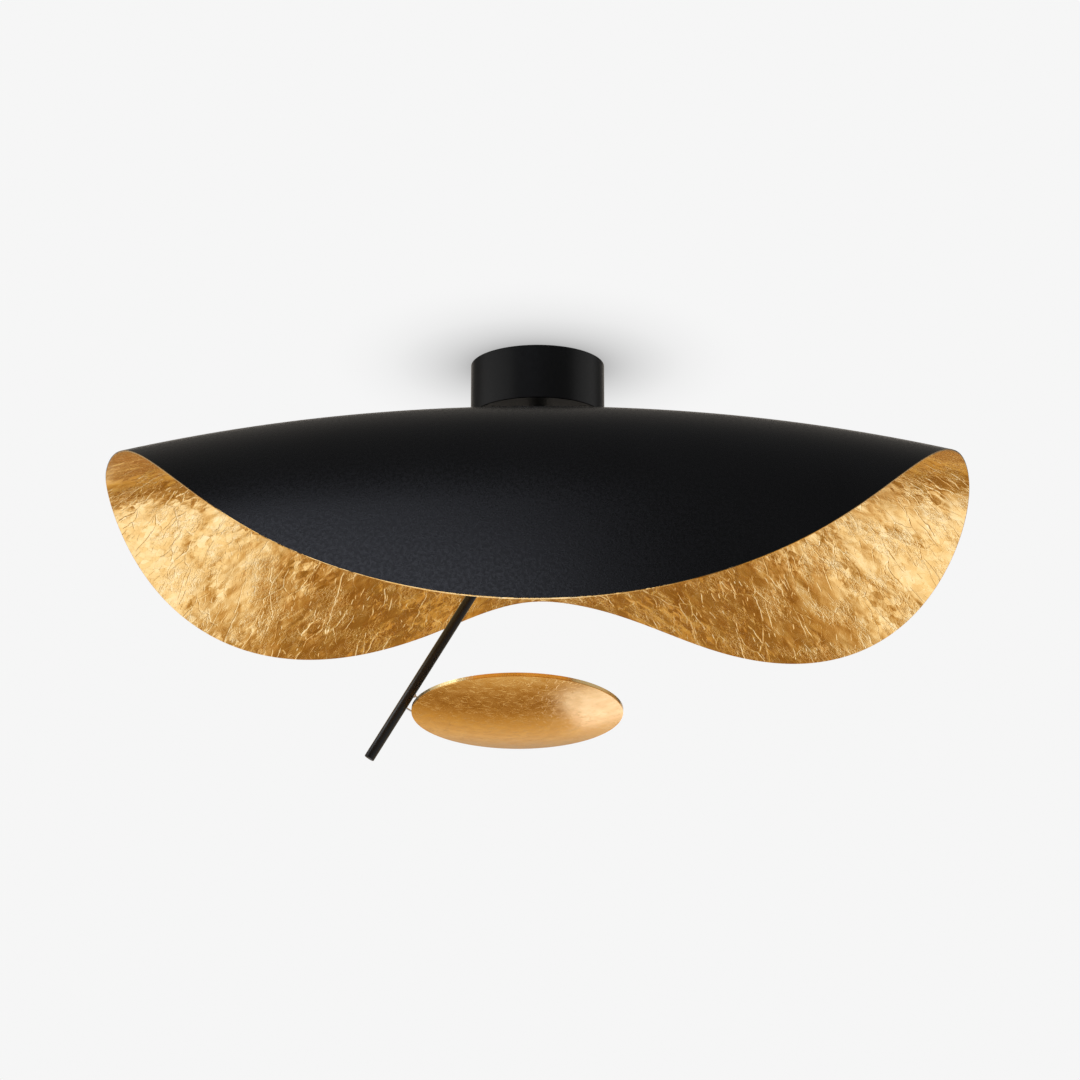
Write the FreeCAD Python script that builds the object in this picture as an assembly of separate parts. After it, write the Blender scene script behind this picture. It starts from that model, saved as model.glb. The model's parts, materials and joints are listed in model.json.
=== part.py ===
import FreeCAD
import Part
import math
import os

# Lotus leaf ceiling light, in millimetres. The origin is the middle of the mounting strap, on the ceiling.
# +Z points up into the ceiling and the light hangs towards -Z. The front is -Y, where the large flap hangs.
# A round sheet, bent down in three flaps, hangs under a canopy.
# A rod on a knuckle under it carries a disc with the LEDs.

# Clearances
FIT_GAP = 0.1            # between pieces that slide together on the bench
RUN_GAP = 0.05           # round a shaft that turns in its hole
FACE_GAP = 0.1           # between flat faces that turn on each other

# Canopy
CANOPY_DIAMETER = 158.0
CANOPY_HEIGHT = 64.0
CANOPY_WALL = 1.5
BASE_THICKNESS = 4.0
BASE_CHAMFER = 0.8
BASE_LIP_HEIGHT = 5.0
BASE_LIP_WALL = 2.0

# Mounting strap
STRAP_WIDTH = 30.0
STRAP_THICKNESS = 2.5
STRAP_BEND_SHARE = 0.8   # outer radius of a bend, as a share of the thickness
TAB_HEIGHT = 18.0
TAB_SETBACK = 1.0
SLOT_SPACING = 80.0
SLOT_LENGTH = 16.0
SLOT_WIDTH = 5.5
SIDE_SCREW_DIAMETER = 4.0
SIDE_SCREW_LENGTH = 10.0
SIDE_SCREW_DROP = 11.0
SIDE_SCREW_RECESS = 0.4
SIDE_SCREW_KEY = 2.0
SIDE_SCREW_KEY_DEPTH = 2.0
EARTH_SCREW_DIAMETER = 4.0
EARTH_SCREW_HEAD = 8.0
EARTH_SCREW_HEAD_HEIGHT = 3.0
EARTH_SCREW_PLACE = 22.0

# Centre stem and its nuts
STEM_DIAMETER = 12.0
STEM_BORE = 8.0
STEM_TOP_SETBACK = 0.8
STEM_WIRE_HOLE = 6.0
STEM_TAIL = 1.0
NUT_ACROSS_FLATS = 18.0
NUT_HEIGHT = 6.0

# Driver and terminals, on the canopy's base
DRIVER_LENGTH = 88.0
DRIVER_WIDTH = 36.0
DRIVER_HEIGHT = 24.0
DRIVER_CORNER = 3.0
DRIVER_STEM_GAP = 8.0
DRIVER_EAR_LENGTH = 8.0
DRIVER_EAR_WIDTH = 12.0
DRIVER_EAR_THICKNESS = 3.0
DRIVER_SCREW_DIAMETER = 3.0
DRIVER_SCREW_HEAD = 5.6
DRIVER_SCREW_HEAD_HEIGHT = 2.0
DRIVER_SCREW_BITE = 2.5
TERMINAL_POLES = 3
TERMINAL_PITCH = 11.0
TERMINAL_WIDTH = 22.0
TERMINAL_HEIGHT = 14.0
TERMINAL_TOWER_HEIGHT = 4.0
TERMINAL_TOWER_DIAMETER = 7.0
TERMINAL_ROW_SPACING = 11.0
TERMINAL_WIRE_HOLE = 4.0
TERMINAL_STEM_GAP = 16.0
TERMINAL_SCREW_DIAMETER = 4.0
TERMINAL_SCREW_HEIGHT = 3.0

# Neck and the clamp that holds the leaf
NECK_LENGTH = 34.0
NECK_DIAMETER = 22.0
CLAMP_DIAMETER = 72.0
CLAMP_THICKNESS = 3.0
CLAMP_CHAMFER = 0.8
FELT_THICKNESS = 1.0

# Leaf shade: a flat disc before it is bent
LEAF_RADIUS = 500.0
LEAF_THICKNESS = 1.5
LEAF_FLAT_MARGIN = 6.0
LEAF_DISH_DEPTH = 58.0
FRONT_BEND_START = 122.0
FRONT_BEND_END = 405.0
FRONT_BEND_ANGLE = 62.3
LEFT_LOBE_AZIMUTH = -131.8
LEFT_LOBE_START = 118.0
LEFT_LOBE_END = 352.0
LEFT_LOBE_ANGLE = 26.3
LEFT_LOBE_BOW = 0.57
RIGHT_LOBE_AZIMUTH = 126.1
RIGHT_LOBE_START = 65.0
RIGHT_LOBE_END = 418.0
RIGHT_LOBE_ANGLE = 30.3
RIGHT_LOBE_BOW = 0.48
LEAF_RINGS = 15
LEAF_RING_POINTS = 48
LEAF_PROBE = 0.5         # how far to each side the sheet's slope is felt
BEND_STEPS = 24

# Swivel yoke and tilting knuckle under the leaf
SWIVEL_GAP = 0.3
WASHER_DIAMETER = 22.0
WASHER_THICKNESS = 1.5
YOKE_PLATE = 8.0
YOKE_WIDTH = 26.0
CHEEK_THICKNESS = 5.0
POCKET_GAP = 1.0
KNUCKLE_HEADROOM = 12.1
EYE_RADIUS = 11.0
EYE_THICKNESS = 16.0
EYE_NECK = 9.0
PIVOT_DIAMETER = 8.0
PIVOT_HEAD_DIAMETER = 14.0
PIVOT_HEAD_HEIGHT = 5.0
PIVOT_NUT_ACROSS_FLATS = 13.0
PIVOT_NUT_HEIGHT = 6.5
PIVOT_TAIL = 1.5
PIVOT_WASHER_DIAMETER = 18.0
PIVOT_WASHER_THICKNESS = 1.9

# Rod
ROD_LEAN = 31.2
ROD_REACH = 371.5
ROD_DIAMETER = 12.0
ROD_WALL = 1.0
KNUCKLE_SPIGOT = 24.0
ROD_PIN_DIAMETER = 3.0
ROD_WIRE_HOLE = 4.0
CAP_LENGTH = 4.0
CAP_CHAMFER = 0.8
CAP_SPIGOT = 9.0

# Disc head
DISC_DIAMETER = 242.8
DISC_TILT = 8.7
DISC_STATION = 300.4
DISC_ROD_GAP = 7.0
RIM_HEIGHT = 3.6
RIM_WIDTH = 12.0
RIM_LEDGE = 7.0
PLATE_THICKNESS = 1.6
DOME_DEPTH = 11.0
DOME_WALL = 0.8
DOME_SETBACK = 0.5
DISC_SCREWS = 4
DISC_SCREW_DIAMETER = 2.5
DISC_SCREW_HEAD = 4.6
DISC_SCREW_HEAD_HEIGHT = 1.4
BOARD_DIAMETER = 124.0
BOARD_HOLE = 50.0
BOARD_THICKNESS = 1.6
CHIP_COUNT = 24
CHIP_SIZE = 3.0
CHIP_HEIGHT = 0.8
DIFFUSER_MARGIN = 8.0
DIFFUSER_HEIGHT = 9.0
DIFFUSER_WALL = 1.6

# Contact pins between the rod and the disc
PIN_DIAMETER = 2.0
PIN_SPACING = 17.0
PIN_RISE = 0.8
PIN_BITE = 2.5
BUSH_DIAMETER = 4.4
BUSH_COLLAR = 1.0
SOCKET_DIAMETER = 6.5
SOCKET_LENGTH = 14.0
SOCKET_FLOOR = 2.0

# Levels, worked out from the sizes above
CANOPY_RADIUS = CANOPY_DIAMETER / 2
CANOPY_INSIDE = CANOPY_RADIUS - CANOPY_WALL
CANOPY_BOTTOM = -CANOPY_HEIGHT
BASE_TOP = CANOPY_BOTTOM + BASE_THICKNESS
STEM_RADIUS = STEM_DIAMETER / 2
STEM_HOLE = STEM_RADIUS + FIT_GAP
UPPER_PLATE_TOP = CANOPY_BOTTOM - NECK_LENGTH
UPPER_FELT_TOP = UPPER_PLATE_TOP - CLAMP_THICKNESS
LEAF_TOP = UPPER_FELT_TOP - FELT_THICKNESS
LEAF_UNDERSIDE = LEAF_TOP - LEAF_THICKNESS
LOWER_PLATE_TOP = LEAF_UNDERSIDE - FELT_THICKNESS
LEAF_NUT_TOP = LOWER_PLATE_TOP - CLAMP_THICKNESS
YOKE_TOP = LEAF_NUT_TOP - NUT_HEIGHT - SWIVEL_GAP
YOKE_PLATE_UNDERSIDE = YOKE_TOP - YOKE_PLATE
SWIVEL_WASHER_TOP = YOKE_PLATE_UNDERSIDE - FACE_GAP
RETAINER_TOP = SWIVEL_WASHER_TOP - WASHER_THICKNESS
STEM_BOTTOM = RETAINER_TOP - NUT_HEIGHT - STEM_TAIL
PIVOT_LEVEL = STEM_BOTTOM - KNUCKLE_HEADROOM - EYE_RADIUS

X_AXIS = FreeCAD.Vector(1, 0, 0)
Y_AXIS = FreeCAD.Vector(0, 1, 0)
Z_AXIS = FreeCAD.Vector(0, 0, 1)
CENTRE = FreeCAD.Vector(0, 0, 0)


def at(x, y, z):
    """A point, or a direction."""
    return FreeCAD.Vector(x, y, z)


def save(name, *solids):
    """Write one node: a single solid, or a group of separate ones."""
    shape = solids[0] if len(solids) == 1 else Part.makeCompound(list(solids))
    shape.exportStep(os.path.join("parts", name + ".step"))


def rod_between(start, end, diameter):
    """A round bar from one point to another."""
    run = end - start
    return Part.makeCylinder(diameter / 2, run.Length, start, run)


def ring(outer, inner, top, height):
    """An upright tube hanging down from a level, by its two diameters."""
    low = at(0, 0, top - height)
    return Part.makeCylinder(outer / 2, height, low).cut(Part.makeCylinder(inner / 2, height, low))


def hexagon(across_flats, height, base, axis=Z_AXIS):
    """A six-sided prism that stands on a point along an axis."""
    corner = across_flats / math.sqrt(3)
    side = Y_AXIS if abs(axis.x) > 0.5 else X_AXIS
    other = axis.cross(side)
    points = []
    for step in range(7):
        turn = math.radians(60 * step)
        points.append(base + side * (corner * math.cos(turn)) + other * (corner * math.sin(turn)))
    return Part.Face(Part.makePolygon(points)).extrude(axis * height)


def turned(edges):
    """Revolve a closed profile, drawn in the XZ plane, about the upright axis."""
    return Part.Face(Part.Wire(edges)).revolve(CENTRE, Z_AXIS, 360)


def outline(points):
    """Straight edges round a closed profile, from pairs of radius and level."""
    corners = [at(radius, 0, level) for radius, level in points]
    return [Part.makeLine(a, b) for a, b in zip(corners, corners[1:] + corners[:1])]


def stem_nut(top):
    """One of the hexagon nuts on the centre stem."""
    base = at(0, 0, top - NUT_HEIGHT)
    return hexagon(NUT_ACROSS_FLATS, NUT_HEIGHT, base).cut(Part.makeCylinder(STEM_HOLE, NUT_HEIGHT, base))


# Canopy

def side_screw_ends(side):
    """Outer and inner end of a side screw, on the left or the right."""
    outer = CANOPY_RADIUS - SIDE_SCREW_RECESS
    level = -SIDE_SCREW_DROP
    return at(side * outer, 0, level), at(side * (outer - SIDE_SCREW_LENGTH), 0, level)


def side_screw_hole(side):
    """The bar that is cut from the canopy and the strap for a side screw."""
    return rod_between(at(side * CANOPY_DIAMETER, 0, -SIDE_SCREW_DROP), side_screw_ends(side)[1],
                       SIDE_SCREW_DIAMETER + 2 * FIT_GAP)


def side_screw(side):
    """A headless screw with a hexagon key hole in its outer end."""
    outer, inner = side_screw_ends(side)
    inwards = (inner - outer).normalize()
    key = hexagon(SIDE_SCREW_KEY, SIDE_SCREW_KEY_DEPTH, outer, inwards)
    return rod_between(outer, inner, SIDE_SCREW_DIAMETER).cut(key)


def canopy_shell():
    """The plain round wall of the canopy."""
    wall = ring(CANOPY_DIAMETER, 2 * CANOPY_INSIDE, 0, CANOPY_HEIGHT - BASE_THICKNESS)
    for side in (-1, 1):
        wall = wall.cut(side_screw_hole(side))
    return wall


def canopy_base():
    """The bottom disc, with a lip that centres it inside the wall."""
    lip = CANOPY_INSIDE - FIT_GAP
    lip_inside = lip - BASE_LIP_WALL
    lip_top = BASE_TOP + BASE_LIP_HEIGHT
    base = turned(outline([
        (STEM_HOLE, CANOPY_BOTTOM), (CANOPY_RADIUS - BASE_CHAMFER, CANOPY_BOTTOM),
        (CANOPY_RADIUS, CANOPY_BOTTOM + BASE_CHAMFER), (CANOPY_RADIUS, BASE_TOP), (lip, BASE_TOP),
        (lip, lip_top), (lip_inside, lip_top), (lip_inside, BASE_TOP), (STEM_HOLE, BASE_TOP)]))
    for place in driver_screw_places():
        base = base.cut(Part.makeCylinder(DRIVER_SCREW_DIAMETER / 2 + FIT_GAP, DRIVER_SCREW_BITE,
                                          place - Z_AXIS * DRIVER_SCREW_BITE))
    return base


# Mounting strap

def tab_face():
    """How far out the outer face of a strap tab stands."""
    return math.sqrt(CANOPY_INSIDE ** 2 - (STRAP_WIDTH / 2) ** 2) - TAB_SETBACK


def mounting_strap():
    """A strap on the ceiling with two slots, and two tabs bent down for the side screws."""
    reach = tab_face()
    edge = -STRAP_WIDTH / 2
    strap = Part.makeBox(2 * reach, STRAP_WIDTH, STRAP_THICKNESS, at(-reach, edge, -STRAP_THICKNESS))
    for side in (-1, 1):
        inner = min(side * reach, side * (reach - STRAP_THICKNESS))
        tab = Part.makeBox(STRAP_THICKNESS, STRAP_WIDTH, TAB_HEIGHT, at(inner, edge, -TAB_HEIGHT))
        strap = strap.fuse(tab)
    strap = strap.removeSplitter()
    bends = [e for e in strap.Edges if abs(e.BoundBox.ZMin) < 1e-6 and e.BoundBox.XLength < 1e-6]
    strap = strap.makeFillet(STRAP_BEND_SHARE * STRAP_THICKNESS, bends)
    for side in (-1, 1):
        strap = strap.cut(slot(side * SLOT_SPACING / 2)).cut(side_screw_hole(side))
    strap = strap.cut(Part.makeCylinder(STEM_HOLE, STRAP_THICKNESS, at(0, 0, -STRAP_THICKNESS)))
    return strap.cut(Part.makeCylinder(EARTH_SCREW_DIAMETER / 2 + FIT_GAP, STRAP_THICKNESS,
                                       at(-EARTH_SCREW_PLACE, 0, -STRAP_THICKNESS)))


def slot(middle):
    """The cutter for one long hole, with round ends."""
    half = (SLOT_LENGTH - SLOT_WIDTH) / 2
    low = -STRAP_THICKNESS
    cutter = Part.makeBox(2 * half, SLOT_WIDTH, STRAP_THICKNESS, at(middle - half, -SLOT_WIDTH / 2, low))
    for end in (-half, half):
        cutter = cutter.fuse(Part.makeCylinder(SLOT_WIDTH / 2, STRAP_THICKNESS, at(middle + end, 0, low)))
    return cutter.removeSplitter()


def earth_screw():
    """The earthing screw, up through the strap from below."""
    under = at(-EARTH_SCREW_PLACE, 0, -STRAP_THICKNESS)
    head = rod_between(under, under - Z_AXIS * EARTH_SCREW_HEAD_HEIGHT, EARTH_SCREW_HEAD)
    return head.fuse(rod_between(under, under + Z_AXIS * STRAP_THICKNESS, EARTH_SCREW_DIAMETER))


# Driver and terminals

def driver_middle():
    """How far behind the stem the middle of the driver lies."""
    return STEM_RADIUS + DRIVER_STEM_GAP + DRIVER_WIDTH / 2


def driver_screw_places():
    """Where the two driver screws enter the canopy's base."""
    out = (DRIVER_LENGTH + DRIVER_EAR_LENGTH) / 2
    return [at(side * out, driver_middle(), BASE_TOP) for side in (-1, 1)]


def led_driver():
    """A moulded box with a fixing ear at each end."""
    middle = driver_middle()
    box = Part.makeBox(DRIVER_LENGTH, DRIVER_WIDTH, DRIVER_HEIGHT,
                       at(-DRIVER_LENGTH / 2, middle - DRIVER_WIDTH / 2, BASE_TOP))
    upright = [e for e in box.Edges if e.BoundBox.ZLength > DRIVER_HEIGHT / 2]
    box = box.makeFillet(DRIVER_CORNER, upright)
    ears = Part.makeBox(DRIVER_LENGTH + 2 * DRIVER_EAR_LENGTH, DRIVER_EAR_WIDTH, DRIVER_EAR_THICKNESS,
                        at(-DRIVER_LENGTH / 2 - DRIVER_EAR_LENGTH, middle - DRIVER_EAR_WIDTH / 2, BASE_TOP))
    box = box.fuse(ears).removeSplitter()
    for place in driver_screw_places():
        box = box.cut(Part.makeCylinder(DRIVER_SCREW_DIAMETER / 2 + FIT_GAP, DRIVER_EAR_THICKNESS, place))
    return box


def driver_screw(place):
    """A pan screw through an ear of the driver into the base."""
    seat = place + Z_AXIS * DRIVER_EAR_THICKNESS
    shank = rod_between(place - Z_AXIS * DRIVER_SCREW_BITE, seat, DRIVER_SCREW_DIAMETER)
    return shank.fuse(Part.makeCylinder(DRIVER_SCREW_HEAD / 2, DRIVER_SCREW_HEAD_HEIGHT, seat))


def terminal_places():
    """The middle of every terminal tower, at the top of the block's body."""
    middle = -(STEM_RADIUS + TERMINAL_STEM_GAP + TERMINAL_WIDTH / 2)
    places = []
    for pole in range(TERMINAL_POLES):
        x = (pole - (TERMINAL_POLES - 1) / 2) * TERMINAL_PITCH
        for side in (-1, 1):
            places.append(at(x, middle + side * TERMINAL_ROW_SPACING / 2, BASE_TOP + TERMINAL_HEIGHT))
    return places


def terminal_block():
    """A moulded strip with two towers and one wire hole for each pole."""
    length = TERMINAL_POLES * TERMINAL_PITCH
    front = -(STEM_RADIUS + TERMINAL_STEM_GAP + TERMINAL_WIDTH)
    block = Part.makeBox(length, TERMINAL_WIDTH, TERMINAL_HEIGHT, at(-length / 2, front, BASE_TOP))
    wire_level = TERMINAL_HEIGHT / 2
    for place in terminal_places():
        block = block.fuse(Part.makeCylinder(TERMINAL_TOWER_DIAMETER / 2, TERMINAL_TOWER_HEIGHT, place))
    for place in terminal_places()[::2]:
        block = block.cut(Part.makeCylinder(TERMINAL_WIRE_HOLE / 2, TERMINAL_WIDTH,
                                            at(place.x, front, place.z - wire_level), Y_AXIS))
    for place in terminal_places():
        block = block.cut(terminal_screw(place, FIT_GAP))
    return block.removeSplitter()


def terminal_screw(place, gap=0.0):
    """A clamp screw, or the hole for it, sunk in the top of a tower."""
    low = place + Z_AXIS * (TERMINAL_TOWER_HEIGHT - TERMINAL_SCREW_HEIGHT)
    return Part.makeCylinder(TERMINAL_SCREW_DIAMETER / 2 + gap, TERMINAL_SCREW_HEIGHT, low)


# Stem, neck and clamp

def centre_stem():
    """The hollow stem from the ceiling to the yoke, with a hole where the wires come out."""
    length = -STEM_TOP_SETBACK - STEM_BOTTOM
    stem = ring(STEM_DIAMETER, STEM_BORE, -STEM_TOP_SETBACK, length)
    middle = at(0, 0, CANOPY_BOTTOM / 2)
    return stem.cut(rod_between(middle, middle - Y_AXIS * STEM_DIAMETER, STEM_WIRE_HOLE))


def clamp_plate(top, chamfer_up):
    """A round plate that presses on the leaf, chamfered on the side that shows."""
    outer = CLAMP_DIAMETER / 2
    low = top - CLAMP_THICKNESS
    shown, pressed = (top, low) if chamfer_up else (low, top)
    step = CLAMP_CHAMFER if chamfer_up else -CLAMP_CHAMFER
    return turned(outline([(STEM_HOLE, pressed), (outer, pressed), (outer, shown - step),
                           (outer - CLAMP_CHAMFER, shown), (STEM_HOLE, shown)]))


# Leaf shade

def bend(distance, start, end, angle):
    """Shortening and drop of the sheet where it bends down.

    The slope eases from nothing at start to the full angle at end, and the sheet runs on straight after.
    Both are sums along the sheet, by the rule of weights 1, 4, 2, 4 and so on to 1.
    """
    if distance <= start:
        return 0.0, 0.0
    reach = min(distance, end)
    shorter = 0.0
    drop = 0.0
    for step in range(BEND_STEPS + 1):
        share = (reach - start) / (end - start) * step / BEND_STEPS
        slope = angle * share * share * (3 - 2 * share)
        weight = 1 if step in (0, BEND_STEPS) else 4 if step % 2 else 2
        shorter += weight * (1 - math.cos(slope))
        drop += weight * math.sin(slope)
    stride = (reach - start) / (3 * BEND_STEPS)
    rest = max(distance - end, 0.0)
    return shorter * stride + rest * (1 - math.cos(angle)), drop * stride + rest * math.sin(angle)


def flaps():
    """Each flap: azimuth from the front, start and end of its bend, angle, and bow of the bend line."""
    return [(0.0, FRONT_BEND_START, FRONT_BEND_END, FRONT_BEND_ANGLE, 0.0),
            (LEFT_LOBE_AZIMUTH, LEFT_LOBE_START, LEFT_LOBE_END, LEFT_LOBE_ANGLE, LEFT_LOBE_BOW),
            (RIGHT_LOBE_AZIMUTH, RIGHT_LOBE_START, RIGHT_LOBE_END, RIGHT_LOBE_ANGLE, RIGHT_LOBE_BOW)]


def leaf_flat_radius():
    """The pressed flat middle, a little larger than the clamp plates."""
    return CLAMP_DIAMETER / 2 + LEAF_FLAT_MARGIN


def leaf_point(radius, azimuth):
    """Where a point of the flat disc lies on the bent leaf's upper face."""
    flat_x = radius * math.sin(azimuth)
    flat_y = -radius * math.cos(azimuth)
    x, y = flat_x, flat_y
    dish = max(radius - leaf_flat_radius(), 0.0) / (LEAF_RADIUS - leaf_flat_radius())
    z = LEAF_TOP - LEAF_DISH_DEPTH * dish ** 2
    for heading, start, end, angle, bow in flaps():
        out_x = math.sin(math.radians(heading))
        out_y = -math.cos(math.radians(heading))
        along = flat_x * out_x + flat_y * out_y
        across = flat_y * out_x - flat_x * out_y
        shorter, drop = bend(along - bow * across ** 2 / LEAF_RADIUS, start, end, math.radians(angle))
        x -= out_x * shorter
        y -= out_y * shorter
        z -= drop
    return at(x, y, z)


def leaf_under_point(radius, azimuth):
    """The point of the lower face straight under, square to the sheet."""
    outward = leaf_point(radius + LEAF_PROBE, azimuth) - leaf_point(radius - LEAF_PROBE, azimuth)
    turn = LEAF_PROBE / radius
    sideways = leaf_point(radius, azimuth + turn) - leaf_point(radius, azimuth - turn)
    return leaf_point(radius, azimuth) - outward.cross(sideways).normalize() * LEAF_THICKNESS


def leaf_ring(face_point, radius):
    """A closed smooth curve round one face of the leaf."""
    turn = 2 * math.pi / LEAF_RING_POINTS
    points = [face_point(radius, turn * k) for k in range(LEAF_RING_POINTS)]
    curve = Part.BSplineCurve()
    curve.interpolate(Points=points, PeriodicFlag=True)
    return Part.Wire(curve.toShape())


def leaf_shade():
    """The bent sheet: two faces lofted through rings, a flat middle with the stem hole, a narrow edge."""
    inner = leaf_flat_radius()
    radii = [inner + (LEAF_RADIUS - inner) * k / (LEAF_RINGS - 1) for k in range(LEAF_RINGS)]
    faces = []
    rims = []
    for face_point, level in ((leaf_point, LEAF_TOP), (leaf_under_point, LEAF_UNDERSIDE)):
        rings = [leaf_ring(face_point, radius) for radius in radii]
        faces += Part.makeLoft(rings, False, False).Faces
        hole = Part.Wire(Part.makeCircle(STEM_HOLE, at(0, 0, level)))
        faces.append(Part.Face([rings[0], hole]))
        rims.append((rings[-1], hole))
    for upper, lower in zip(*rims):
        faces += Part.makeLoft([upper, lower], False, True).Faces
    sewn = Part.makeShell(faces)
    sewn.sewShape()
    solid = Part.makeSolid(sewn)
    if solid.Volume < 0:
        solid.reverse()
    return solid


# Yoke and pivot

def cheek_inside():
    """Half the gap between the two cheeks of the yoke."""
    return EYE_THICKNESS / 2 + FACE_GAP + PIVOT_WASHER_THICKNESS


def cheek_outside():
    """Half the width of the yoke over its cheeks."""
    return cheek_inside() + CHEEK_THICKNESS


def along_pivot(y):
    """A point on the pivot's axis."""
    return at(0, y, PIVOT_LEVEL)


def swivel_yoke():
    """A fork that turns on the stem and holds the pivot bolt between two round-ended cheeks."""
    out = cheek_outside()
    half = YOKE_WIDTH / 2
    yoke = Part.makeBox(YOKE_WIDTH, 2 * out, YOKE_TOP - PIVOT_LEVEL, at(-half, -out, PIVOT_LEVEL))
    yoke = yoke.fuse(rod_between(along_pivot(-out), along_pivot(out), YOKE_WIDTH))
    fork_height = YOKE_PLATE_UNDERSIDE - PIVOT_LEVEL + YOKE_WIDTH
    yoke = yoke.cut(Part.makeBox(2 * YOKE_WIDTH, 2 * cheek_inside(), fork_height,
                                 at(-YOKE_WIDTH, -cheek_inside(), YOKE_PLATE_UNDERSIDE - fork_height)))
    pocket = NUT_ACROSS_FLATS / math.sqrt(3) + POCKET_GAP
    pocket_depth = YOKE_PLATE_UNDERSIDE - STEM_BOTTOM + POCKET_GAP
    yoke = yoke.cut(Part.makeCylinder(pocket, pocket_depth, at(0, 0, YOKE_PLATE_UNDERSIDE - pocket_depth)))
    yoke = yoke.cut(Part.makeCylinder(STEM_RADIUS + RUN_GAP, YOKE_PLATE, at(0, 0, YOKE_PLATE_UNDERSIDE)))
    yoke = yoke.cut(rod_between(along_pivot(-out), along_pivot(out), PIVOT_DIAMETER + 2 * RUN_GAP))
    return yoke.removeSplitter()


def pivot_bolt():
    """The bolt through both cheeks, its round head to the front."""
    out = cheek_outside()
    head = rod_between(along_pivot(-out - PIVOT_HEAD_HEIGHT), along_pivot(-out), PIVOT_HEAD_DIAMETER)
    tail = along_pivot(out + PIVOT_NUT_HEIGHT + PIVOT_TAIL)
    return head.fuse(rod_between(along_pivot(-out), tail, PIVOT_DIAMETER))


def pivot_nut():
    """The nut behind the rear cheek."""
    start = along_pivot(cheek_outside())
    end = start + Y_AXIS * PIVOT_NUT_HEIGHT
    nut = hexagon(PIVOT_NUT_ACROSS_FLATS, PIVOT_NUT_HEIGHT, start, Y_AXIS)
    return nut.cut(rod_between(start, end, PIVOT_DIAMETER + 2 * FIT_GAP))


def pivot_washer(side):
    """A friction washer against the inside of one cheek."""
    start = along_pivot(side * cheek_inside())
    end = along_pivot(side * (cheek_inside() - PIVOT_WASHER_THICKNESS))
    hole = rod_between(start, end, PIVOT_DIAMETER + 2 * FIT_GAP)
    return rod_between(start, end, PIVOT_WASHER_DIAMETER).cut(hole)


# Rod, on its own line down and to the left of the pivot

LEAN = math.radians(ROD_LEAN)
ROD_LINE = at(-math.sin(LEAN), 0, -math.cos(LEAN))
PIN_LINE = at(math.cos(LEAN), 0, -math.sin(LEAN))
ROD_BORE = ROD_DIAMETER - 2 * ROD_WALL
ROD_START = EYE_RADIUS + EYE_NECK
TUBE_END = ROD_REACH - CAP_LENGTH
LOWER_PIN_STATION = DISC_STATION - PIN_RISE
UPPER_PIN_STATION = LOWER_PIN_STATION - PIN_SPACING


def on_rod(station, out=0.0):
    """A point at a distance down the rod from the pivot, and out from its line towards the disc."""
    return along_pivot(0) + ROD_LINE * station + PIN_LINE * out


def rod_pin_ends():
    """Ends of the cross pin that fixes the tube on the knuckle."""
    middle = on_rod(ROD_START + KNUCKLE_SPIGOT / 2)
    return middle - Y_AXIS * (ROD_DIAMETER / 2), middle + Y_AXIS * (ROD_DIAMETER / 2)


def rod_pin_hole():
    """The cutter for the cross pin."""
    return rod_between(*rod_pin_ends(), ROD_PIN_DIAMETER + 2 * FIT_GAP)


def rod_knuckle():
    """The eye that turns on the pivot bolt, with a spigot for the tube."""
    half = EYE_THICKNESS / 2
    eye = rod_between(along_pivot(-half), along_pivot(half), 2 * EYE_RADIUS)
    spigot_end = on_rod(ROD_START + KNUCKLE_SPIGOT)
    eye = eye.fuse(rod_between(on_rod(0), on_rod(ROD_START), ROD_DIAMETER))
    eye = eye.fuse(rod_between(on_rod(ROD_START), spigot_end, ROD_BORE - 2 * FIT_GAP))
    eye = eye.cut(rod_between(along_pivot(-half), along_pivot(half), PIVOT_DIAMETER + 2 * RUN_GAP))
    return eye.cut(rod_pin_hole()).removeSplitter()


def rod_tube():
    """The straight black tube, drilled for the cross pin, the wires and the two contact pins."""
    tube = rod_between(on_rod(ROD_START), on_rod(TUBE_END), ROD_DIAMETER)
    tube = tube.cut(rod_between(on_rod(ROD_START), on_rod(TUBE_END), ROD_BORE)).cut(rod_pin_hole())
    wire = on_rod(ROD_START + KNUCKLE_SPIGOT + ROD_WIRE_HOLE)
    tube = tube.cut(rod_between(wire, wire + Y_AXIS * ROD_DIAMETER, ROD_WIRE_HOLE))
    tube = tube.cut(rod_between(on_rod(LOWER_PIN_STATION), on_rod(LOWER_PIN_STATION, ROD_DIAMETER),
                                PIN_DIAMETER + 2 * RUN_GAP))
    return tube.cut(rod_between(on_rod(UPPER_PIN_STATION), on_rod(UPPER_PIN_STATION, ROD_DIAMETER),
                                BUSH_DIAMETER + 2 * RUN_GAP))


def rod_cap():
    """The plug in the lower end, with a chamfered nose."""
    end = on_rod(ROD_REACH)
    nose = rod_between(on_rod(TUBE_END), end, ROD_DIAMETER)
    tip = [e for e in nose.Edges if e.Closed and (e.CenterOfMass - end).Length < CAP_LENGTH / 2]
    nose = nose.makeChamfer(CAP_CHAMFER, tip)
    return nose.fuse(rod_between(on_rod(TUBE_END), on_rod(TUBE_END - CAP_SPIGOT), ROD_BORE - 2 * FIT_GAP))


# Disc head, drawn flat round its own middle and then set in place

DISC_RADIUS = DISC_DIAMETER / 2
DISC_MIDDLE = on_rod(DISC_STATION, ROD_DIAMETER / 2 + DISC_ROD_GAP) + X_AXIS * DISC_RADIUS
RIM_TOP = RIM_HEIGHT / 2
RIM_UNDERSIDE = -RIM_HEIGHT / 2
RIM_INSIDE = DISC_RADIUS - RIM_WIDTH
LEDGE_EDGE = RIM_INSIDE + RIM_LEDGE
LEDGE_TOP = RIM_TOP - PLATE_THICKNESS


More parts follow.
